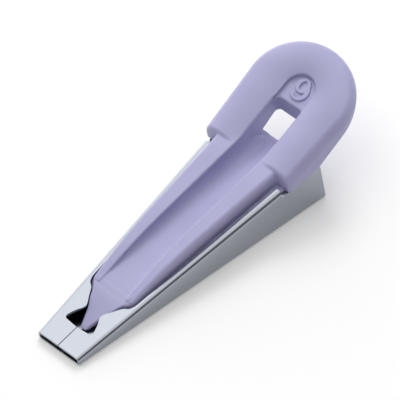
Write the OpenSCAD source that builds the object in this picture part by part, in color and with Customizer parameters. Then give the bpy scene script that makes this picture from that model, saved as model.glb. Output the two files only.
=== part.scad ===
// Bias tape maker for narrow tape: a folded sheet body and a moulded guide that slides in from the rear.
// X runs across the tape, Y from the mouth to the pull head, Z up from the floor of the body.

/* [Tape] */
// Finished width of the folded tape
tape_w = 9; // [7:0.5:14]
// Play of the tape in the mouth, both sides together
mouth_play = 0.6; // [0.4:0.1:1.2]
// Gap left for the fabric round the guide's wings
fabric_gap = 0.4; // [0.3:0.05:0.6]

/* [Sheet body] */
// Thickness of the sheet
sheet_t = 0.4; // [0.3:0.05:0.5]
// Clear height of the slot in the mouth
slot_h = 0.92; // [0.8:0.02:1.3]
// Length of the body
body_len = 55; // [45:1:70]
// Outer width of the body at its rear end
rear_w = 21.4; // [18:0.2:27]
// Slope of the flanges over the floor, in degrees
flange_slope = 8; // [6:0.5:10]
// Length at the rear end where the walls have no flanges
open_len = 8.6; // [6:0.2:12]
// Step down from the flanges to the open tops of the walls
wall_step = 1.3; // [0.8:0.1:1.8]
// Outer radius of the folds
fold_r = 0.55; // [0.45:0.05:0.8]
// Width of a flange where the notch ends
flange_w_front = 1.1; // [0.9:0.05:1.3]
// Width of a flange at its rear end
flange_w_rear = 1.6; // [1.4:0.05:2]
// Gap of the seam where the two flaps meet
seam_gap = 0.12; // [0.05:0.01:0.3]

/* [Awl notch] */
// Distance from the mouth to the notch
notch_from = 4.7; // [3.5:0.1:6]
// Width of the notch for the awl
notch_w = 6.7; // [5:0.1:7.4]
// Width of the throat between the points of the flaps
throat_w = 3.9; // [3.2:0.1:4.6]
// Length from the notch's front edge to the throat
throat_run = 4; // [3:0.1:4.5]
// Length of the flare from the throat to the flanges
flare_run = 5.4; // [4.5:0.1:6.5]

/* [Guide channel] */
// Width of the channel between the rails
channel_w = 6.4; // [4.5:0.1:7.5]
// Distance from the front of the rails to the end of the notch's flare
rail_lead = 0.8; // [0.2:0.1:1.5]
// Height of the rails over the flanges at their front end
rail_h_front = 1.1; // [0.8:0.05:1.6]
// Height of the rails over the flanges further back
rail_h = 2.25; // [1.6:0.05:2.8]
// Length over which the rails rise to their full height
rail_rise = 16.5; // [10:0.5:22]
// Gap between a rail and the flange beside it at the front end
rail_gap_front = 0.4; // [0.3:0.05:0.7]
// Gap between a rail and the flange beside it at the rear end
rail_gap_rear = 0.95; // [0.5:0.05:1.3]
// Draft of the rails' outer sides, in degrees
side_draft = 8; // [4:1:12]
// Radius of the rails' outer shoulders
shoulder_r = 0.8; // [0.4:0.1:1.2]
// Radius of the rails' inner edges
ridge_r = 0.5; // [0.2:0.1:0.7]
// Radius between the channel's walls and its floor
fillet_r = 1.7; // [0.5:0.1:2.1]
// Height of the channel's floor over the flanges at its front end
floor_rise = 0.66; // [0.4:0.02:0.8]
// Depth of the channel's floor below the flanges at its rear end
floor_drop = 2.37; // [1.6:0.05:3]
// Length of the channel's floor past the rear edge of the body
floor_past = 0.3; // [0:0.1:1]
// Thickness of the web under the channel
web_t = 1.2; // [0.8:0.1:1.6]
// Thickness of the wings under the flanges
wing_t = 0.8; // [0.6:0.05:1.1]

/* [Tongue] */
// Distance of the tongue's tip behind the notch's front edge
tongue_back = 0.9; // [0.5:0.1:2]
// Width of the tongue at its tip
tongue_w_tip = 1.6; // [1.2:0.1:2.4]
// Thickness of the tongue at its tip
tongue_t_tip = 0.3; // [0.25:0.05:0.4]
// Gap between the tongue's tip and the floor of the body
tongue_lift = 0.25; // [0.15:0.05:0.4]
// Gap between the tongue and the flaps beside it
tongue_gap = 0.12; // [0.1:0.02:0.3]
// Room beside the tongue where it meets the rails
tongue_room = 1.85; // [1.2:0.05:2.2]

/* [Pull head] */
// Gap between the ends of the flanges and the front of the head
head_gap = 1.1; // [0.5:0.1:2]
// Distance by which the head stands out over the walls at its front
overhang_front = 0.75; // [0.4:0.05:1.2]
// Distance by which the head stands out over the body's rear end where its arch starts
overhang_rear = 0.85; // [0.4:0.05:1.5]
// Length of the head past the rear edge of the body
head_reach = 15.6; // [13:0.1:20]
// Length of the arch at the end of the head
arch_len = 9.6; // [8:0.1:12]
// Height of the head's upper face over the flanges, at its front
head_h = 1.88; // [1.5:0.02:2.4]
// Slope of the head's upper face, in degrees
head_slope = 19.65; // [17:0.05:22]
// Slope of the head's underside behind the body, in degrees
under_slope = 28.5; // [24:0.5:30]
// Radius of the head's upper edge
head_r = 1.3; // [0.6:0.1:1.5]
// Gap between the head and the tops of the walls
seat_gap = 0.05; // [0.02:0.01:0.2]
// Play between the locating lugs and the walls
lug_play = 0.08; // [0.04:0.01:0.3]
// Depth of the locating lugs below the tops of the walls
lug_h = 1; // [0.6:0.1:1.6]
// Width of the lugs
lug_w = 1.3; // [0.9:0.1:2]

/* [Hole and number plate] */
// Width by which the slot through the head is wider than the channel in it
slot_room = 0.2; // [0.1:0.05:0.4]
// Length of the hole between the end of the channel's floor and the number plate
hole_len = 3.3; // [2.5:0.1:4]
// Depth of the number plate below the head's upper face
plate_depth = 0.9; // [0.5:0.05:1.2]
// Length of the number plate up to the top of its arch
plate_len = 5.7; // [5.3:0.1:6.2]
// Height of the raised digit
digit_h = 0.25; // [0.1:0.05:0.4]
// Width of the raised digit
digit_w = 3; // [2:0.1:3.4]
// Length of the raised digit
digit_len = 4.3; // [3.5:0.1:4.5]
// Width of the raised digit's strokes
digit_stroke = 0.5; // [0.3:0.05:0.6]

/* [Hidden] */
// How far a cut runs past a face, and a height above everything
cut = 1;
tall = 60;

// Outer size of the mouth, and the lean of the walls in plan, in degrees
mouth_w = tape_w + mouth_play + 2 * sheet_t;
mouth_h = slot_h + 2 * sheet_t;
taper = atan((rear_w - mouth_w) / 2 / body_len);
// Thickness of the sloping flange and of the tapering wall, measured upright and across
flange_t = sheet_t / cos(flange_slope);
wall_t = sheet_t / cos(taper);
// Ends of the flanges and of the head, and the middle of the whole length, which is the origin
flange_len = body_len - open_len;
head_end = body_len + head_reach;
middle = head_end / 2;

// Half width of the sheet body, and height of its flange plane and wall tops, at a distance from the mouth
function body_x(y) = mouth_w / 2 + y * tan(taper);
function flange_z(y) = mouth_h + y * tan(flange_slope);
function wall_z(y) = flange_z(y) - wall_step;
// Straight change from one value to another between two places
function along(y, y1, v1, y2, v2) = v1 + (v2 - v1) * (y - y1) / (y2 - y1);

// The flanges' inner edges start where the notch's flare ends
flare_end = notch_from + throat_run + flare_run;
function lip_x(y) = body_x(y) - along(y, flare_end, flange_w_front, flange_len, flange_w_rear);

// Part of an ellipse from one angle to another, both ends included
function arc(centre, rx, ry, from, to, steps) =
    [for (i = [0 : steps]) let (t = from + (to - from) * i / steps) centre + [rx * cos(t), ry * sin(t)]];

// Half outline of the opening between the flanges: the notch's rounded corner, the rounded point of the
// flap at the throat, the flare, and the flange's end. The flare's curve is given in shares of its width
// and length.
throat_y = notch_from + throat_run;
throat_x = throat_w / 2;
flare_x = lip_x(flare_end);
flare_shares = [[0.3, 0.37], [0.6, 0.66], [0.83, 0.76], [0.93, 0.86], [1, 1]];
flare = [for (s = flare_shares) [throat_x + s[0] * (flare_x - throat_x), throat_y + s[1] * flare_run]];
flare_start = [throat_x + 0.1, throat_y + 0.5];
notch_r = 0.7;
point_r = 0.5;
corner_r = 0.6;
opening = concat(
    arc([notch_w / 2 - notch_r, notch_from + notch_r], notch_r, notch_r, -90, 20, 5),
    [[throat_x + 1.5 * point_r, throat_y - 3 * point_r], [throat_x + 0.2 * point_r, throat_y - point_r]],
    [[throat_x, throat_y], flare_start],
    flare,
    arc([lip_x(flange_len) + corner_r, flange_len - corner_r], corner_r, corner_r, 180, 90, 6)
);

// A half outline and its mirror image, as one closed outline
function both_sides(half) = concat(half, [for (i = [len(half) - 1 : -1 : 0]) [-half[i][0], half[i][1]]]);

// A side view, drawn as distance from the mouth and height, made as wide as asked
module side_view(points, width = 2 * tall) {
    rotate([90, 0, 90]) linear_extrude(width, center = true) polygon(points);
}

// A plan view made tall
module plan_view(half, from_z = 0, to_z = tall) {
    translate([0, 0, from_z]) linear_extrude(to_z - from_z) polygon(both_sides(half));
}

// What a fold's round outside takes off a corner whose upper face leans by lean
module fold_round(lean) {
    centre = [-fold_r, fold_r * sin(lean) / cos(lean) - fold_r / cos(lean)];
    touch = centre + fold_r * [sin(lean), cos(lean)];
    rotate([90, 0, 0]) linear_extrude(2 * body_len, center = true) difference() {
        polygon([centre, [cut, centre[1]], [cut, cut], [touch[0], cut], touch]);
        translate(centre) circle(fold_r, $fn = 48);
    }
}

module fold_rounds() {
    rise = atan(tan(flange_slope) * cos(taper));
    lean = atan(tan(flange_slope) * sin(taper) * cos(rise));
    for (side = [0, 1]) mirror([side, 0, 0]) {
        translate([mouth_w / 2, 0, 0]) rotate([0, 0, -taper]) mirror([0, 0, 1]) fold_round(0);
        translate([mouth_w / 2, 0, mouth_h]) rotate([0, 0, -taper]) rotate([rise, 0, 0]) fold_round(lean);
    }
}

module sheet_body() {
    color("gainsboro") translate([0, -middle, 0]) difference() {
        intersection() {
            plan_view([[body_x(0), 0], [body_x(body_len), body_len]]);
            side_view([
                [0, 0], [body_len, 0], [body_len, wall_z(body_len)], [flange_len, wall_z(flange_len)],
                [flange_len, flange_z(flange_len)], [0, mouth_h]
            ]);
        }
        // The hollow inside the folded sheet
        intersection() {
            plan_view([[body_x(-cut) - wall_t, -cut], [body_x(body_len + cut) - wall_t, body_len + cut]]);
            side_view([
                [-cut, sheet_t], [body_len + cut, sheet_t],
                [body_len + cut, flange_z(body_len + cut) - flange_t], [-cut, flange_z(-cut) - flange_t]
            ]);
        }
        // The seam, the awl notch and the opening between the flanges
        plan_view(
            concat(
                [[seam_gap / 2, -cut], [seam_gap / 2, notch_from]], opening,
                [[lip_x(flange_len) + corner_r, body_len]]
            ),
            sheet_t + slot_h / 2
        );
        fold_rounds();
    }
}

// Places along the guide: its rails start, reach their full height, and end with the channel's floor
rail_from = flare_end - rail_lead;
rail_full = rail_from + rail_rise;
head_from = flange_len + head_gap;
floor_end = body_len + floor_past;
plate_from = floor_end + hole_len;
arch_from = head_end - arch_len;
slot_x = (channel_w + slot_room) / 2;

// Heights of the channel's floor, the rails, the head and the wings at a distance from the mouth
floor_z1 = flange_z(rail_from) + floor_rise;
floor_z2 = flange_z(floor_end) - floor_drop;
lip_r = 0.5;
function floor_z(y) = along(y, rail_from, floor_z1, floor_end, floor_z2)
    - lip_r * (1 - cos(asin(min(1, max(0, (y - floor_end) / lip_r + 1)))));
function rail_z(y) =
    flange_z(y) + rail_h - (rail_h - rail_h_front) * pow(max(0, rail_full - y) / rail_rise, 2);
function head_top(y) = flange_z(head_from) + head_h + (y - head_from) * tan(head_slope);
function wing_top(y) = flange_z(y) - flange_t - fabric_gap;

// Half widths of the rails, at the height of the flanges, and of the wings
function rail_x(y) = lip_x(y) - along(y, flare_end, rail_gap_front, flange_len, rail_gap_rear);
function wing_x(y) = body_x(y) - wall_t - fabric_gap;

// Half section of the guide, from the middle of its underside out round the wing and over the rail
web_x = channel_w / 2 + 0.6;
web_lean = 0.6;
function guide_half(y) =
    let (
        top = wing_top(y), under = top - wing_t, tip = wing_t / 2, x = wing_x(y),
        web = min(floor_z(y) - web_t, under - 0.01), depth = rail_z(y) - floor_z(y),
        lean = tan(side_draft), base = rail_x(y) + (flange_z(y) - top) * lean,
        crown = rail_x(y) - (rail_z(y) - flange_z(y)) * lean, wall = crown - channel_w / 2,
        sr = min(shoulder_r, 0.5 * wall), rr = min(ridge_r, 0.35 * wall, 0.3 * depth),
        fr = min(fillet_r, 0.6 * depth)
    )
    concat(
        [[0, web], [web_x, web], [web_x + (under - web) * web_lean + 0.1, under]],
        arc([x - tip, under + tip], tip, tip, -90, 90, 4),
        [[base, top]],
        arc([crown - sr, rail_z(y) - sr], sr + sr * lean, sr, 0, 90, 4),
        arc([channel_w / 2 + rr, rail_z(y) - rr], rr, rr, 90, 180, 3),
        arc([channel_w / 2 - fillet_r, floor_z(y) + fr], fillet_r, fr, 0, -90, 5),
        [[0, floor_z(y)]]
    );

// Closes a half section with its mirror image, and stands it at its distance from the mouth
function guide_ring(y) =
    let (half = guide_half(y), n = len(half))
    concat(
        [for (p = half) [p[0], y, p[1]]],
        [for (i = [n - 2 : -1 : 1]) [-half[i][0], y, half[i][1]]]
    );

// A face seen from its other side, which keeps its first point
function turned(face) = [for (i = [0 : len(face) - 1]) face[i == 0 ? 0 : len(face) - i]];

// A solid drawn through rings that all have as many points, closed at both ends by the faces in ends
module loft(rings, ends) {
    n = len(rings[0]);
    last = len(rings) - 1;
    side = [for (r = [0 : last - 1], i = [0 : n - 1]) [r * n + i, r * n + (i + 1) % n]];
    polyhedron([for (ring = rings) each ring], concat(
        ends,
        [for (e = side) [e[1], e[0], e[0] + n]],
        [for (e = side) [e[1], e[0] + n, e[1] + n]],
        [for (face = ends) [for (i = turned(face)) last * n + i]]
    ));
}

// The guide's end faces: wing, rail, the corner between them, and the web. Each is seen whole from its
// first point.
half_faces = [
    [8, 2, 3, 4, 5, 6, 7],
    [for (i = [8 : 18]) i],
    [2, 8, 18],
    concat([1, 2], [for (i = [18 : 24]) i], [0])
];
section_size = 48;
function across(face) = [for (i = turned(face)) (section_size - i) % section_size];
guide_ends = concat(half_faces, [for (face = half_faces) across(face)]);

// The channel with its rails and wings, drawn from its rounded rear lip to the front
module channel() {
    lip_stations = [for (i = [3 : -1 : 0]) floor_end - lip_r + lip_r * sin(30 * i)];
    rear_stations = [for (i = [3 : -1 : 0]) along(i, 0, rail_full, 4, floor_end - lip_r)];
    rise_stations = [for (i = [7 : -1 : 0]) rail_from + rail_rise * i / 8];
    loft([for (y = concat(lip_stations, rear_stations, rise_stations)) guide_ring(y)], guide_ends);
}

// The wings' front, spread from under the tongue and a little thinner than the wings it runs into
wing_from = rail_from - 1.5;
module wing_front() {
    inside_y = rail_from + 0.2;
    thin = 0.05;
    tip_x = wing_x(rail_from) - wing_t / 2;
    intersection() {
        plan_view([[tongue_root, wing_from], [tip_x, rail_from], [tip_x, inside_y]]);
        side_view([
            [wing_from, wing_top(wing_from) - wing_t + thin], [inside_y, wing_top(inside_y) - wing_t + thin],
            [inside_y, wing_top(inside_y) - thin], [wing_from, wing_top(wing_from) - thin]
        ]);
    }
}

// The tongue, which narrows to pass under the points of the flaps
tongue_from = notch_from + tongue_back;
tongue_under = sheet_t + tongue_lift;
tongue_root = flare_x - tongue_room;
module tongue() {
    tip_r = 0.3;
    root_y = rail_from - 0.7;
    inside_y = rail_from + 0.5;
    intersection() {
        plan_view([
            [tongue_w_tip / 2 - tip_r, tongue_from], [tongue_w_tip / 2, tongue_from + tip_r],
            flare_start - [tongue_gap, 0], flare[0] - [tongue_gap, 0],
            [tongue_root, root_y], [tongue_root + 0.3, inside_y]
        ]);
        side_view([
            [tongue_from, tongue_under], [inside_y, wing_top(inside_y) - wing_t],
            [inside_y, floor_z1 - 0.1], [rail_from, floor_z1], [root_y, floor_z1 - 0.2],
            [tongue_from, tongue_under + tongue_t_tip]
        ]);
    }
}

// Outline of the head in plan, drawn in by inset
function head_outline(inset) =
    let (half = concat(
        [[body_x(head_from) + overhang_front - inset, head_from]],
        arc([0, arch_from], rear_w / 2 + overhang_rear - inset, arch_len - inset, 0, 90, 12)
    ))
    concat(half, [for (i = [len(half) - 2 : -1 : 0]) [-half[i][0], half[i][1]]]);

// The head's block down to the ground, with its upper edge rounded along the sides and the arch
module head_block() {
    rounding = [for (i = [0 : 5]) head_r * [1 - cos(18 * i), 1 - sin(18 * i)]];
    rings = concat(
        [[for (p = head_outline(0)) [p[0], p[1], 0]]],
        [for (step = rounding) [for (p = head_outline(step[0])) [p[0], p[1], head_top(p[1]) - step[1]]]]
    );
    loft(rings, [[for (i = [0 : len(rings[0]) - 1]) i]]);
}

// The head leaves the tops of the walls just before they end, and climbs from there
module head() {
    wall_past = 1.1;
    leave_y = body_len - wall_past;
    leave_z = wall_z(leave_y) + seat_gap;
    intersection() {
        head_block();
        side_view([
            [head_from, wall_z(head_from) + seat_gap], [leave_y, leave_z],
            [head_end + cut, leave_z + (head_end + cut - leave_y) * tan(under_slope)],
            [head_end + cut, tall], [head_from, tall]
        ]);
    }
}

// Lugs under the head that locate it between the walls
module lugs() {
    lug_from = head_from + 0.1;
    lug_end = body_len - 0.5;
    outer = -wall_t - lug_play;
    for (side = [0, 1]) mirror([side, 0, 0]) intersection() {
        linear_extrude(tall) polygon([
            [body_x(lug_from) + outer - lug_w, lug_from], [body_x(lug_from) + outer, lug_from],
            [body_x(lug_end) + outer, lug_end], [body_x(lug_end) + outer - lug_w, lug_end]
        ]);
        side_view([
            [lug_from, wall_z(lug_from) - lug_h], [lug_end, wall_z(lug_end) - lug_h],
            [lug_end, wall_z(lug_end) + cut], [lug_from, wall_z(lug_from) + cut]
        ]);
    }
}

// A plain figure nine: a ring, a short stem and a hook
module digit_nine() {
    module ring() {
        difference() {
            circle(digit_w / 2, $fn = 48);
            circle(digit_w / 2 - digit_stroke, $fn = 48);
        }
    }
    stem_h = digit_len - digit_w;
    linear_extrude(plate_depth) {
        ring();
        translate([digit_w / 2 - digit_stroke, -stem_h]) square([digit_stroke, stem_h]);
        translate([0, -stem_h]) intersection() {
            ring();
            polygon([
                [0, 0], [digit_w, 0], [digit_w, -digit_w], [-digit_w, -digit_w], [-digit_w, -digit_w / 2]
            ]);
        }
    }
}

// The recess above the number plate, open to the hole in front of it, with the digit left standing
module plate_recess() {
    arch_y = plate_from + plate_len - channel_w / 2;
    digit_x = 0.2;
    digit_y = plate_from + (plate_len + digit_len - digit_w) / 2;
    difference() {
        intersection() {
            plan_view(concat(
                [[channel_w / 2, plate_from - cut]], arc([0, arch_y], channel_w / 2, channel_w / 2, 0, 90, 8)
            ));
            side_view([
                [plate_from - cut, head_top(plate_from - cut) - plate_depth],
                [head_end, head_top(head_end) - plate_depth], [head_end, tall], [plate_from - cut, tall]
            ]);
        }
        translate([digit_x, digit_y, head_top(digit_y) - plate_depth])
            rotate([head_slope, 0, 0]) translate([0, 0, digit_h - plate_depth]) digit_nine();
    }
}

module tape_guide() {
    color("#aaa8d2") translate([0, -middle, 0]) {
        difference() {
            union() {
                head();
                lugs();
            }
            // The slot right through the head, which takes the channel and leaves the hole behind it
            translate([-slot_x, head_from - cut, 0]) cube([2 * slot_x, plate_from - head_from + cut, tall]);
            plate_recess();
        }
        channel();
        wing_front();
        tongue();
    }
}

sheet_body();
tape_guide();
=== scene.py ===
"""A bias tape maker: a folded sheet body, and a moulded plastic guide that slides into it from the rear.

Sizes are in millimetres, unless a comment says otherwise. X runs across the tool, Y is measured from
the mouth, and Z up from the floor of the body.
"""

import math

import bmesh
import bpy
import numpy as np
from mathutils import Matrix, Vector


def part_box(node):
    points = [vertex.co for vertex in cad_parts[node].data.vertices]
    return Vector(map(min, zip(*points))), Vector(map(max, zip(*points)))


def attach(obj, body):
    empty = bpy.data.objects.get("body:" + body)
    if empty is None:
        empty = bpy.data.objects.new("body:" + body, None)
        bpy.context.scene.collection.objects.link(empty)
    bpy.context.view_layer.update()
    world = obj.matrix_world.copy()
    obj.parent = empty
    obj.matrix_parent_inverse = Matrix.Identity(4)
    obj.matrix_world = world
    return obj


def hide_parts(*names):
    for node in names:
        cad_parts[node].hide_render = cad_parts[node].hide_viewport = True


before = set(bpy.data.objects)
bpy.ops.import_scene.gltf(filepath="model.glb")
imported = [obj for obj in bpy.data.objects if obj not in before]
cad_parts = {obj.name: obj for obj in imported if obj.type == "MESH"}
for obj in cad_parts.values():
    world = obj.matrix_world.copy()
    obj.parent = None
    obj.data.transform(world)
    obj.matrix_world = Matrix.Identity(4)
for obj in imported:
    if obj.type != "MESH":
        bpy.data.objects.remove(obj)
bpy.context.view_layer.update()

# Sheet body
# One blank of thin steel sheet, bent to a tapering funnel: floor, two walls, and two flanges that meet
# over the mouth as flaps. It was blanked and folded, then nickel-plated, so its cut edges are as bright
# as its faces.
MM = 0.001
low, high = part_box("sheet_body")
mouth_at = low.y / MM
body_len = (high.y - low.y) / MM
rear_half = high.x / MM
mouth_half = 5.2
mouth_h = 1.72
sheet_t = 0.4
floor_fold_r = 0.65
flange_fold_r_mouth = 0.7
flange_fold_r_rear = 0.95
fold_steps = 12
cut_edge_r = 0.1
sharp_angle = math.radians(50)
flange_rise = math.tan(math.radians(8))
flange_len = 46.4
flange_corner_r = 0.6
wall_step = 1.3
wall_step_r = 0.3


def along(y, y1, v1, y2, v2):
    """Straight change from v1 at y1 to v2 at y2."""
    return v1 + (v2 - v1) * (y - y1) / (y2 - y1)


def body_x(y):
    """Half width of the body outside."""
    return along(y, 0, mouth_half, body_len, rear_half)


def flange_z(y):
    """Height of the flanges' upper side."""
    return mouth_h + flange_rise * y


def wall_z(y):
    """Height of the walls behind the flanges, where they are stepped down."""
    return flange_z(y) - wall_step


# The flanges' free edge: seam, notch, rounded point of the flap, flare and lip beside the guide
seam_half = 0.08
notch_from = 4.68
notch_slant = 0.2
notch_half = 3.37
notch_r = 0.6
flap_point = [(2.77, 7.14), (2.2, 8.02), (1.95, 8.7), (2.02, 9.15)]
flare = [(2.42, 9.83), (3.01, 10.67), (3.52, 11.5), (4.07, 12.24), (4.9, 12.8), (5.26, 13.34), (5.51, 14.1)]
lip_from = 14.1
lip_w_front = 1.1
lip_w_rear = 1.6
lip_straight = (16, 18)
corner_steps = 6
curve_steps = 4


def lip_x(y):
    """Distance of the lip's edge from the middle of the tool."""
    return body_x(y) - along(y, lip_from, lip_w_front, flange_len, lip_w_rear)


def curve_through(points, steps):
    """A smooth curve through the points, from the second to the last but one."""
    found = []
    for a, b, c, d in zip(points, points[1:], points[2:], points[3:]):
        for i in range(steps):
            t = i / steps
            place = []
            for p, q, r, s in zip(a, b, c, d):
                square = 2 * p - 5 * q + 4 * r - s
                cube = 3 * q - p - 3 * r + s
                place.append(0.5 * (2 * q + (r - p) * t + square * t**2 + cube * t**3))
            found.append(place)
    return found + [list(points[-2])]


def arc(x, y, r, first, last, steps):
    """Points on an arc from one angle to another, in degrees."""
    turns = [math.radians(first + (last - first) * i / steps) for i in range(steps + 1)]
    return [[x + r * math.cos(t), y + r * math.sin(t)] for t in turns]


def flange_edge():
    """Free edge of the right flange in plan, from the mouth to the rear corner."""
    notch_y = notch_from + notch_slant
    corner = arc(notch_half - notch_r, notch_y + notch_r, notch_r, -90, 10, corner_steps)
    straight = [(lip_x(y), y) for y in lip_straight]
    bend = curve_through([*corner[-2:], *flap_point, *flare, *straight], curve_steps)
    rear_y = flange_len - flange_corner_r
    end = arc(lip_x(flange_len) + flange_corner_r, rear_y, flange_corner_r, 180, 90, corner_steps)
    return [[seam_half, 0], [seam_half, notch_from], *corner[:-1], *bend, *end]


def fold(y, r, middle_z, first, inset):
    """Quarter turn of a fold, at one place along the body."""
    turn = arc(body_x(y) - r, middle_z, r - inset, first, first + 90, fold_steps)
    return [[x, y, z] for x, z in turn]


def wall_top(inset):
    """Upper edge of the wall behind the flanges, from the rounded step to the rear."""
    step = arc(wall_step_r, wall_step_r, wall_step_r, 180, 270, curve_steps)
    line = [(flange_len + a - wall_step_r, wall_z(flange_len) + b) for a, b in step]
    return [[body_x(y) - inset, y, z] for y, z in [*line, (body_len, wall_z(body_len))]]


def strips(rows):
    """Quads between neighbouring rows of points."""
    pairs = [pair for a, b in zip(rows, rows[1:]) for pair in zip(zip(a, a[1:]), zip(b, b[1:]))]
    return [[a1, a2, b2, b1] for (a1, a2), (b1, b2) in pairs]


def sheet_side(inset):
    """Right half of the sheet's outer side, or of its inner side, which lies inset by the sheet's thickness.

    Gives the faces, and the border from the middle of the mouth round to the middle of the rear end.
    """
    low_fold = [fold(y, floor_fold_r, floor_fold_r, -90, inset) for y in (0, flange_len, body_len)]
    high_fold = []
    for y in (0, flange_len):
        r = along(y, 0, flange_fold_r_mouth, flange_len, flange_fold_r_rear)
        high_fold.append(fold(y, r, flange_z(y) - r, 0, inset))
    wall = wall_top(inset)
    edge = [[x, y, flange_z(y) - inset] for x, y in flange_edge()]
    front, rear = [[0, y, inset] for y in (0, body_len)]
    faces = strips(low_fold) + strips(high_fold)
    faces.append([front, *[row[0] for row in low_fold], rear])
    faces.append([*[row[-1] for row in low_fold], *wall[::-1], high_fold[1][0], high_fold[0][0]])
    faces.append([high_fold[0][-1], high_fold[1][-1], *edge[::-1]])
    border = [front, *low_fold[0], *high_fold[0], *edge, *high_fold[1][::-1]]
    border += [*wall, *low_fold[2][::-1], rear]
    return faces, border


def add_mesh(name, points, faces):
    """A mesh object from points in millimetres, with Y measured from the mouth."""
    mesh = bpy.data.meshes.new(name)
    places = (np.array(points, float) + (0, mouth_at, 0)) * MM
    mesh.from_pydata(places.tolist(), [], [list(map(int, face)) for face in faces])
    mesh.update()
    piece = bpy.data.objects.new(name, mesh)
    bpy.context.scene.collection.objects.link(piece)
    return piece


outer_faces, outer_border = sheet_side(0)
inner_faces, inner_border = sheet_side(sheet_t)
half = outer_faces + inner_faces + strips([outer_border, inner_border])
both = half + [[[-x, y, z] for x, y, z in face] for face in half]
points = [point for face in both for point in face]
firsts = np.cumsum([0] + [len(face) for face in both])
sheet = add_mesh("folded_sheet_body", points, [range(a, b) for a, b in zip(firsts, firsts[1:])])

mesh = bmesh.new()
mesh.from_mesh(sheet.data)
bmesh.ops.remove_doubles(mesh, verts=mesh.verts, dist=0.001 * MM)
bmesh.ops.recalc_face_normals(mesh, faces=mesh.faces)
sharp = [edge for edge in mesh.edges if edge.calc_face_angle(0) > sharp_angle]
bmesh.ops.bevel(
    mesh, geom=sharp, offset=cut_edge_r * MM, segments=2, profile=0.5, affect="EDGES", clamp_overlap=True
)
mesh.to_mesh(sheet.data)
mesh.free()
sheet.data.shade_smooth()
# Shading follows the large faces, and areas within a tenth of a square millimetre count as alike
even = sheet.modifiers.new("flat_faces_stay_flat", "WEIGHTED_NORMAL")
even.weight = 100
even.thresh = 0.1 * MM**2
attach(sheet, "body")
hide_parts("sheet_body")


def linear(colour):
    """Linear RGBA of an sRGB hex colour."""
    found = []
    for i in (1, 3, 5):
        c = int(colour[i : i + 2], 16) / 255
        found.append(c / 12.92 if c <= 0.04045 else ((c + 0.055) / 1.055) ** 2.4)
    return (*found, 1)


def add_node(tree, kind, links=(), values=None, **settings):
    """Adds a node with its settings, the values of its inputs, and its links as (input, node, output)."""
    node = tree.nodes.new(kind)
    for name, value in settings.items():
        setattr(node, name, value)
    for socket, value in (values or {}).items():
        node.inputs[socket].default_value = value
    for socket, source, output in links:
        tree.links.new(source.outputs[output], node.inputs[socket])
    return node


def new_material(name):
    """A material with an empty node tree."""
    material = bpy.data.materials.new(name)
    material.use_nodes = True
    material.node_tree.nodes.clear()
    return material, material.node_tree


def set_ramp(ramp, *stops):
    """Sets a ramp's two stops, each a place and a colour."""
    for stop, (place, colour) in zip(ramp.color_ramp.elements, stops):
        stop.position = place
        stop.color = linear(colour)


# Nickel-plated steel: bright and a little soft, because the plating follows the rolling marks of the sheet.
# The real marks are too fine to show, so they are drawn broader.
material, tree = new_material("nickel_plated_steel")
mark_w = 0.12
mark_len = 6
across, lengthwise = 1 / (mark_w * MM), 1 / (mark_len * MM)
place = add_node(tree, "ShaderNodeTexCoord")
stretch = add_node(
    tree, "ShaderNodeMapping", [("Vector", place, "Object")], {"Scale": (across, lengthwise, across)}
)
grain = add_node(tree, "ShaderNodeTexNoise", [("Vector", stretch, "Vector")], {"Scale": 1, "Detail": 2})
shade = add_node(tree, "ShaderNodeValToRGB", [("Fac", grain, "Fac")])
set_ramp(shade, (0, "#9b9fa7"), (1, "#a5a9b1"))
gloss = add_node(tree, "ShaderNodeMapRange", [("Value", grain, "Fac")], {"To Min": 0.12, "To Max": 0.2})
marks = add_node(
    tree, "ShaderNodeBump", [("Height", grain, "Fac")], {"Strength": 0.04, "Distance": 0.01 * MM}
)
surface = add_node(
    tree, "ShaderNodeBsdfPrincipled",
    [("Base Color", shade, "Color"), ("Roughness", gloss, "Result"), ("Normal", marks, "Normal")],
    {"Metallic": 1},
)
add_node(tree, "ShaderNodeOutputMaterial", [("Surface", surface, "BSDF")])
sheet.data.materials.append(material)


# Guide
# One moulding in lavender plastic. Its tongue passes under the flaps, its wings lie under the flanges, and
# the crowned head rests on the walls behind them. Two rails border the channel, and a hole ends it.
def round_max(a, b, r):
    """What is inside both a and b, with its outer edge rounded to the radius r."""
    return np.minimum(-r, np.maximum(a, b)) + np.hypot(np.maximum(a + r, 0), np.maximum(b + r, 0))


def round_min(a, b, r):
    """What is inside a or b, with a fillet of the radius r where they meet."""
    return -round_max(-a, -b, r)


# The channel's floor
channel_from = 13.3
channel_half = 3.2
floor_end = 55.75
floor_front_z = 4.25
floor_rear_z = 7.15
floor_arch = 0.55
floor_bend = 0.8
floor_lip_from = 53.3
floor_lip_drop = 0.85
floor_lip_past = 1.3
floor_lip_r = 0.25
tongue_slope = 0.437


def floor_line(y):
    """Height of the channel's floor, which is arched a little along the tool."""
    share = (y - channel_from) / (floor_end - channel_from)
    return floor_front_z + (floor_rear_z - floor_front_z) * share + 4 * floor_arch * share * (1 - share)


def floor_z(y):
    """Height of the floor with both its ends: it bends down over the tongue and over the lip at the hole."""
    tongue_z = floor_front_z + tongue_slope * (y - channel_from)
    bend = np.maximum(floor_bend - abs(floor_line(y) - tongue_z), 0)
    lip = np.clip((y - floor_lip_from) / (floor_end - floor_lip_from), 0, floor_lip_past)
    lip_drop = floor_lip_drop * (lip + lip**2) / 2
    return np.minimum(floor_line(y), tongue_z) - bend**2 / (4 * floor_bend) - lip_drop


# The wings under the flanges, with room for the fabric between
fabric_gap = 0.4
wing_t = 0.8
wing_front = (3.66, 11.8)
wing_front_slant = 0.9
wing_front_cos = 0.75
wing_edge_r = 0.38
wing_end_r = 0.3
rails_end = 54.3


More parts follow.
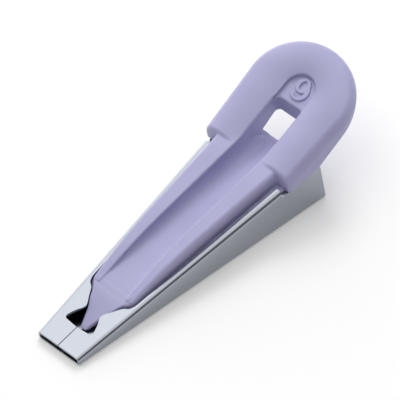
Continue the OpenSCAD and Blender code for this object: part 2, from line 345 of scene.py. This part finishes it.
def wing_z(y):
    """Height of the middle of the wings."""
    return flange_z(y) - sheet_t - fabric_gap - wing_t / 2


def wings(x, y, z):
    """The two flat wings, which taper with the body and are cut slanted at their front.

    The slant's cosine makes the distance from it true, as it does at the tongue's sides and under the head.
    """
    found = round_max(x - body_x(y) + sheet_t + fabric_gap, abs(z - wing_z(y)) - wing_t / 2, wing_edge_r)
    front = (wing_front[1] + np.maximum(x - wing_front[0], 0) * wing_front_slant - y) * wing_front_cos
    return round_max(round_max(found, front, wing_end_r), y - rails_end, wing_end_r)


# The rails beside the channel, and the web under it
rail_rise = 16.5
rail_h = 2.25
rail_h_front = 0.42
rail_gap_front = 0.4
rail_gap_rear = 0.85
rail_front = (3.66, 12.4)
rail_front_slant = 0.85
rail_front_r = 0.5
side_draft = math.tan(math.radians(1))
shoulder_r = 0.7
web_t = 1.2
web_half = 5.2
web_side = 0.6
web_r = 0.2
lip_joint = 1
lip_joint_r = 0.1


def rail_z(y):
    """Height of the rails, which rise from the tongue in a curve and then run along the flanges."""
    share = np.clip((channel_from + rail_rise - y) / rail_rise, 0, 1)
    return flange_z(y) + rail_h - (rail_h - rail_h_front) * share**2


def rail_x(y):
    """Distance of the rails' outer sides from the middle, at the height of the flanges."""
    return lip_x(y) - along(y, lip_from, rail_gap_front, flange_len, rail_gap_rear)


def rails(x, y, z):
    """The channel's outside: drafted sides, rounded shoulders, and a slanted front on each side."""
    side = x - rail_x(y) + (z - flange_z(y)) * side_draft
    found = round_max(side, z - rail_z(y), shoulder_r)
    front = (rail_front[1] + (x - rail_front[0]) * rail_front_slant - y) / math.hypot(1, rail_front_slant)
    found = round_max(found, front, rail_front_r)
    web = floor_line(y) - web_t
    web_rise = np.maximum(x - channel_half - web_side, 0) / web_side
    under = np.minimum(wing_z(y) - wing_t / 2, web + web_rise)
    found = round_max(round_max(found, under - z, web_r), y - rails_end, web_r)
    lip = round_max(round_max(z - floor_z(y), y - floor_end, floor_lip_r), web - z, web_r)
    lip = round_max(np.maximum(lip, x - web_half), rails_end - lip_joint - y, lip_joint_r)
    return np.minimum(found, lip)


# The tongue, given by its half width at places along it
tongue_tip = 5.6
tongue_halves = ([5.6, 5.9, 9.2, 10.7, 12.6, 14], [0.55, 0.8, 1.93, 2.9, 3.66, 3.9])
tongue_side_cos = 0.9
tongue_side_r = 0.25
tongue_under_z = 0.65
tongue_under_rise = 0.1715
tongue_under_r = 0.1
tongue_root = 1


def tongue(x, y, z):
    """The tongue, with its root in the channel's front. The channel's room cuts its upper side."""
    half = np.interp(y, *tongue_halves)
    under = tongue_under_z + (y - tongue_tip) * tongue_under_rise
    found = round_max((x - half) * tongue_side_cos, tongue_tip - y, tongue_side_r)
    found = round_max(found, under - z, tongue_under_r)
    return np.maximum(found, np.maximum(y - channel_from - tongue_root, z - rail_z(y)))


# The head
head_from = 47.5
head_half_front = 10.7
head_half_rear = 11.53
arch_from = 61
arch_len = 9.58
head_top_z = 10.2
head_slope = math.radians(19.65)
head_rise = math.tan(head_slope)
head_cos = math.cos(head_slope)
head_crown = 0.8
crown_from = 0.3
crown_past = 1.05
head_edge_r = 1.5
head_front_r = 0.6
head_under_r = 0.5
seat_gap = 0.06
seat_end = 53.9
under_rise = math.tan(math.radians(28.5))
under_cos = 0.9


def head_plane(y):
    """Height of the sloping plane on which the head's crown stands."""
    return head_top_z + (y - head_from) * head_rise


def head(x, y, z):
    """The pull head: straight sides and an arch in plan, and an upper face crowned between its edges."""
    half = along(np.minimum(y, arch_from), head_from, head_half_front, arch_from, head_half_rear)
    past = np.maximum(y - arch_from, 0)
    reach = np.hypot(x / half, past / arch_len)
    slope = np.hypot(x / half**2, past / arch_len**2) / np.maximum(reach, 0.01)
    outline = (reach - 1) / np.maximum(slope, 1 / head_half_rear)
    share = np.clip((reach - crown_from) / (1 - crown_from), 0, crown_past)
    top = (z - head_plane(y) - 4 * head_crown * share * (1 - share)) * head_cos
    found = round_max(outline, top, head_edge_r)
    seat_end_z = wall_z(seat_end) + seat_gap
    under = np.maximum(wall_z(y) + seat_gap, seat_end_z + (y - seat_end) * under_rise)
    found = round_max(found, (under - z) * under_cos, head_under_r)
    return round_max(found, head_from - y, head_front_r)


# The two locating lugs under the head, between the walls
lug_play = 0.08
lug_w = 1.3
lug_h = 1
lug_at = 51.05
lug_len = 6.9
lug_corner_r = 0.3
lug_edge_r = 0.2


def lugs(x, y, z):
    """The lugs, centred on the height of the walls' tops."""
    middle = body_x(y) - sheet_t - lug_play - lug_w / 2
    found = round_max(abs(x - middle) - lug_w / 2, abs(y - lug_at) - lug_len / 2, lug_corner_r)
    return round_max(found, abs(z - wall_z(y)) - lug_h, lug_edge_r)


# The room of the channel, the hole and the number plate
channel_open = 0.1
channel_open_r = 0.5
fillet_r = 2
fillet_share = 0.75
fillet_stop = 0.5
fillet_fade = 3
fillet_least = 0.1
hole_end = 59.1
hole_end_lean = 0.17
hole_r = 1.0
plate_half = 3.25
plate_arch_y = 61.2
plate_arch_len = 3.1
plate_depth = 0.75
plate_floor_r = 0.08
plate_open = 1


def channel_room(x, y, z):
    """The channel and the hole behind its floor, with fillets along the floor that fade out at its lip."""
    rear = y - hole_end + (head_plane(hole_end) - plate_depth - z) * hole_end_lean
    open_front = round_min(x - channel_half, y - channel_from - channel_open, channel_open_r)
    plan = round_max(open_front, rear, hole_r)
    profile = -round_max(z - floor_z(y), y - floor_end, floor_lip_r)
    depth = rail_z(y) - floor_z(y)
    fade = np.clip((floor_end - fillet_stop - y) / fillet_fade, fillet_least, 1)
    return round_max(plan, profile, np.minimum(fillet_r, fillet_share * depth) * fade)


def plate_room(x, y, z):
    """The recess over the number plate, open to the hole and arched at its rear end."""
    plan = (np.hypot(x / plate_half, np.maximum(y - plate_arch_y, 0) / plate_arch_len) - 1) * plate_half
    depth = (head_plane(y) - plate_depth - z) * head_cos
    return round_max(np.maximum(plan, hole_end - plate_open - y), depth, plate_floor_r)


# The raised digit on the plate: a bowl, and a stem that hooks round below it
digit_h = 0.35
digit_half_stroke = 0.24
digit_squeeze = 0.52
digit_edge_r = 0.1
bowl = (-0.07, 62.57, 1.07, 1.15, 0, 360, 32)
hook = (0.1, 61.6, 1.42, 1.55, 50, -140, 24)


def oval(middle_x, middle_y, reach_x, reach_y, first, last, steps):
    """Points along an oval from one angle to another, in degrees."""
    turns = np.radians(np.linspace(first, last, steps + 1))
    return [(middle_x + reach_x * math.cos(t), middle_y + reach_y * math.sin(t)) for t in turns]


def digit_gap(x, y):
    """Distance in plan from the digit's strokes, with distances across the plate squeezed.

    That makes the digit's upright strokes the broad ones.
    """
    gap = np.full(np.broadcast(x, y).shape, np.inf)
    for line in (oval(*bowl), oval(*hook)):
        for a, b in zip(line, line[1:]):
            dx, dy = b[0] - a[0], b[1] - a[1]
            t = np.clip(((x - a[0]) * dx + (y - a[1]) * dy) / (dx * dx + dy * dy), 0, 1)
            gap = np.minimum(gap, np.hypot((x - a[0] - t * dx) * digit_squeeze, y - a[1] - t * dy))
    return gap


# The whole guide, with the radius of the channel's edges at places along it
head_joint_r = 0.3
tongue_joint_r = 0.35
wing_joint_r = 0.1
plate_edge_r = 0.15
channel_edges = ([7, 9, 12, 14, hole_end - 1, hole_end - 0.4], [0.5, 0.25, 0.25, 0.36, 0.36, 0.2])


def guide_field(x, y, z):
    """Signed distance to the guide's surface, close to true near the surface, and negative inside."""
    side = abs(x)
    found = round_min(rails(side, y, z), head(side, y, z), head_joint_r)
    found = round_min(found, tongue(side, y, z), tongue_joint_r)
    found = round_min(found, wings(side, y, z), wing_joint_r)
    found = np.minimum(found, lugs(side, y, z))
    found = round_max(found, -plate_room(side, y, z), plate_edge_r)
    found = round_max(found, -channel_room(side, y, z), np.interp(y, *channel_edges))
    raised = abs(z - (head_plane(y) - plate_depth)) * head_cos - digit_h
    return np.minimum(found, round_max(digit_gap(x, y) - digit_half_stroke, raised, digit_edge_r))


def cells(*spans):
    """Grid places along one axis from (start, cell size) pairs, and an end."""
    found = []
    for (start, size), (end, _) in zip(spans, spans[1:]):
        found += list(np.linspace(start, end, max(1, round((end - start) / size)), endpoint=False))
    return np.array(found + [spans[-1][0]])


def slopes(field, points, step=0.01):
    """Slope of the field along each axis."""
    found = []
    for axis in range(3):
        ahead, behind = points.copy(), points.copy()
        ahead[:, axis] += step
        behind[:, axis] -= step
        found.append((field(*ahead.T) - field(*behind.T)) / (2 * step))
    return np.stack(found, axis=1)


def pulled(field, points, times, longest=0.2, flattest=0.05):
    """Moves points along the field's slope until they lie on its surface."""
    for _ in range(times):
        slope = slopes(field, points)
        size = np.maximum((slope**2).sum(1), flattest)
        move = field(*points.T) / size
        points = points - np.clip(move, -longest, longest)[:, None] * slope
    return points


def crossings(values, cell, axes):
    """Middle of the places where the surface crosses the edges of each cell."""
    sums = np.zeros((len(cell), 3))
    hits = np.zeros(len(cell))
    for a in np.ndindex(2, 2, 2):
        for axis in range(3):
            if a[axis]:
                continue
            b = list(a)
            b[axis] = 1
            ca, cb = (cell + a).T, (cell + b).T
            va, vb = values[tuple(ca)], values[tuple(cb)]
            crossed = (va < 0) != (vb < 0)
            share = np.where(crossed, va / np.where(crossed, va - vb, 1), 0)
            for d in range(3):
                start, end = axes[d][ca[d]], axes[d][cb[d]]
                sums[:, d] += np.where(crossed, start + share * (end - start), 0)
            hits += crossed
    return sums / hits[:, None]


def outward_quads(inside, number):
    """Quads between the four cells round each grid edge that the surface crosses, facing outward."""
    quads = []
    for axis in range(3):
        u, v = (axis + 1) % 3, (axis + 2) % 3
        first = np.take(inside, range(inside.shape[axis] - 1), axis)
        second = np.take(inside, range(1, inside.shape[axis]), axis)
        at = np.argwhere(first != second)
        within = (at[:, u] > 0) & (at[:, v] > 0)
        within &= (at[:, u] < number.shape[u]) & (at[:, v] < number.shape[v])
        at = at[within]
        ring = []
        for du, dv in ((0, 0), (1, 0), (1, 1), (0, 1)):
            spot = at.copy()
            spot[:, u] -= du
            spot[:, v] -= dv
            ring.append(number[tuple(spot.T)])
        quad = np.stack(ring, axis=1)
        turned = ~first[tuple(at.T)]
        quad[turned] = quad[turned][:, ::-1]
        quads.append(quad)
    return np.concatenate(quads)


def skin(field, xs, ys, zs):
    """Quads over the surface of a field: one point in each grid cell that the surface passes through."""
    values = field(xs[:, None, None], ys[None, :, None], zs[None, None, :])
    inside = values < 0
    shape = tuple(n - 1 for n in inside.shape)
    total = np.zeros(shape, int)
    for i, j, k in np.ndindex(2, 2, 2):
        total += inside[i : i + shape[0], j : j + shape[1], k : k + shape[2]]
    cell = np.argwhere((total > 0) & (total < 8))
    number = np.full(shape, -1)
    number[tuple(cell.T)] = np.arange(len(cell))
    points = pulled(field, crossings(values, cell, (xs, ys, zs)), 3)
    return points, outward_quads(inside, number)


def evened(field, points, quads, times):
    """Spreads the points evenly over the surface."""
    a = quads.ravel()
    b = np.roll(quads, -1, axis=1).ravel()
    ends, others = np.concatenate([a, b]), np.concatenate([b, a])
    count = np.bincount(ends, minlength=len(points))[:, None]
    for _ in range(times):
        sums = [np.bincount(ends, points[others, d], len(points)) for d in range(3)]
        mean = np.stack(sums, axis=1) / count
        points = pulled(field, 0.5 * points + 0.5 * mean, 2)
    return points


# The grid is finest over the number plate, and fine wherever edges show
plain = 0.2
fine = 0.13
finest = 0.085
half_cells = cells((0, finest), (1.9, fine), (4, 0.3), (12, 0))
xs = np.concatenate([-half_cells[:0:-1], half_cells])
ys = cells(
    (5.2, 0.25), (14.5, 0.5), (46.6, plain), (49, 0.4), (53, fine), (59.8, finest), (64.2, 0.25), (71, 0)
)
zs = cells((0.3, plain), (12.2, fine), (16, plain), (19, 0))
points, quads = skin(guide_field, xs, ys, zs)
points = evened(guide_field, points, quads, 2)
guide = add_mesh("moulded_guide", points, quads)
guide.data.shade_smooth()
normals = slopes(guide_field, points)
normals /= np.maximum(np.linalg.norm(normals, axis=1), 0.001)[:, None]
guide.data.normals_split_custom_set_from_vertices(normals.tolist())
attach(guide, "guide")
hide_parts("tape_guide")

# Lavender polyoxymethylene, moulded against a finely blasted tool: satin, with slight flow clouds in its
# colour. The blasted grain is drawn coarser than the real one, which is too fine to show.
material, tree = new_material("moulded_satin_acetal")
blast_grain = 0.15
cloud_size = 9
place = add_node(tree, "ShaderNodeTexCoord")
clouds = add_node(
    tree, "ShaderNodeTexNoise", [("Vector", place, "Object")], {"Scale": 1 / (cloud_size * MM), "Detail": 3}
)
tint = add_node(tree, "ShaderNodeValToRGB", [("Fac", clouds, "Fac")])
set_ramp(tint, (0.35, "#a9a7cd"), (0.7, "#b0aed3"))
blast = add_node(
    tree, "ShaderNodeTexNoise", [("Vector", place, "Object")], {"Scale": 1 / (blast_grain * MM), "Detail": 2}
)
satin = add_node(tree, "ShaderNodeMapRange", [("Value", blast, "Fac")], {"To Min": 0.36, "To Max": 0.46})
texture = add_node(
    tree, "ShaderNodeBump", [("Height", blast, "Fac")], {"Strength": 0.12, "Distance": 0.01 * MM}
)
surface = add_node(
    tree, "ShaderNodeBsdfPrincipled",
    [("Base Color", tint, "Color"), ("Roughness", satin, "Result"), ("Normal", texture, "Normal")],
    {"IOR": 1.48},
)
add_node(tree, "ShaderNodeOutputMaterial", [("Surface", surface, "BSDF")])
guide.data.materials.append(material)

# Table
# A wide pale card under the tool, four metres from its middle to each side. Seen directly or in the metal
# it is a little brighter than its light makes it, so that its shadows stay faint.
card_reach = 4
card_glow = 0.2
card_corners = [(x * card_reach, y * card_reach, 0) for x, y in ((-1, -1), (1, -1), (1, 1), (-1, 1))]
mesh = bpy.data.meshes.new("pale_card")
mesh.from_pydata(card_corners, [], [(0, 1, 2, 3)])
card = bpy.data.objects.new("pale_card", mesh)
bpy.context.scene.collection.objects.link(card)
material, tree = new_material("matt_white_card")
surface = add_node(
    tree, "ShaderNodeBsdfPrincipled", values={"Base Color": linear("#fcfcfc"), "Roughness": 0.9}
)
white = add_node(tree, "ShaderNodeEmission", values={"Color": (1, 1, 1, 1), "Strength": 1})
rays = add_node(tree, "ShaderNodeLightPath")
seen = add_node(
    tree, "ShaderNodeMath", [(0, rays, "Is Camera Ray"), (1, rays, "Is Glossy Ray")], operation="ADD"
)
seen = add_node(
    tree, "ShaderNodeMath", [(0, seen, "Value"), (1, rays, "Is Transmission Ray")], operation="ADD"
)
share = add_node(tree, "ShaderNodeMath", [(0, seen, "Value")], {1: card_glow}, operation="MULTIPLY")
mixed = add_node(
    tree, "ShaderNodeMixShader", [(0, share, "Value"), (1, surface, "BSDF"), (2, white, "Emission")]
)
add_node(tree, "ShaderNodeOutputMaterial", [("Surface", mixed, "Shader")])
mesh.materials.append(material)

# Light
# A dim studio with soft round panels overhead, on the tool's left, behind it, on its right and in front.
# Each panel has a direction, the degrees from its middle to where it fades and to its end, and a strength.
panels = [
    ((0, 0, 1), 25, 45, 1.25),
    ((-0.55, 0.17, 0.82), 8, 14, 0.3),
    ((-0.85, 0.1, 0.5), 20, 40, 1.1),
    ((-0.9, 0.39, 0.12), 10, 25, 1.8),
    ((0.1, 0.9, 0.4), 30, 50, 0.3),
    ((0.8, 0.39, 0.45), 12, 28, 0.25),
    ((-0.3, -0.9, 0.3), 30, 50, 0.2),
]
dim = 0.1
world = bpy.data.worlds.new("soft_panels")
bpy.context.scene.world = world
world.use_nodes = True
tree = world.node_tree
tree.nodes.clear()
view = add_node(tree, "ShaderNodeTexCoord")
glow = add_node(tree, "ShaderNodeMath", values={0: dim, 1: 0}, operation="ADD")
for middle, fades, ends, strength in panels:
    facing = add_node(
        tree, "ShaderNodeVectorMath", [("Vector", view, "Generated")], {1: Vector(middle).normalized()},
        operation="DOT_PRODUCT",
    )
    panel = add_node(
        tree, "ShaderNodeMapRange", [("Value", facing, "Value")],
        {
            "From Min": math.cos(math.radians(ends)),
            "From Max": math.cos(math.radians(fades)),
            "To Max": strength,
        },
    )
    glow = add_node(tree, "ShaderNodeMath", [(0, glow, "Value"), (1, panel, "Result")], operation="ADD")
sky = add_node(tree, "ShaderNodeBackground", [("Strength", glow, "Value")], {"Color": (1, 1, 1, 1)})
add_node(tree, "ShaderNodeOutputWorld", [("Surface", sky, "Background")])

# One round lamp high behind the tool's left, 1.2 metres away
lamp_from = Vector((-0.4, 0.6, 0.7)).normalized() * 1.2
lamp = bpy.data.lights.new("key_lamp", "AREA")
lamp.shape = "DISK"
lamp.size = 0.5
lamp.energy = 4.8
key = bpy.data.objects.new("key_lamp", lamp)
bpy.context.scene.collection.objects.link(key)
key.location = lamp_from
key.rotation_euler = lamp_from.to_track_quat("Z", "Y").to_euler()
key.visible_glossy = False

# Camera
# A long lens, high on the tool's right and in front of it, rolled so that the tool lies across the picture.
# At azimuth 0 it would look along +Y.
azimuth = math.radians(54.756)
elevation = math.radians(47.87)
roll = math.radians(-11.552)
look_at = Vector((-6.21, 4.935, 0)) * MM
distance = 1511.07 * MM
camera_data = bpy.data.cameras.new("camera")
camera_data.sensor_width = 36
camera_data.lens = 771
camera_data.clip_end = 10
camera = bpy.data.objects.new("camera", camera_data)
bpy.context.scene.collection.objects.link(camera)
turn = Matrix.Rotation(azimuth, 4, "Z") @ Matrix.Rotation(math.radians(90) - elevation, 4, "X")
turn = turn @ Matrix.Rotation(roll, 4, "Z")
camera.matrix_world = Matrix.Translation(look_at) @ turn @ Matrix.Translation((0, 0, distance))
bpy.context.scene.camera = camera

bpy.context.scene.view_settings.view_transform = "Standard"
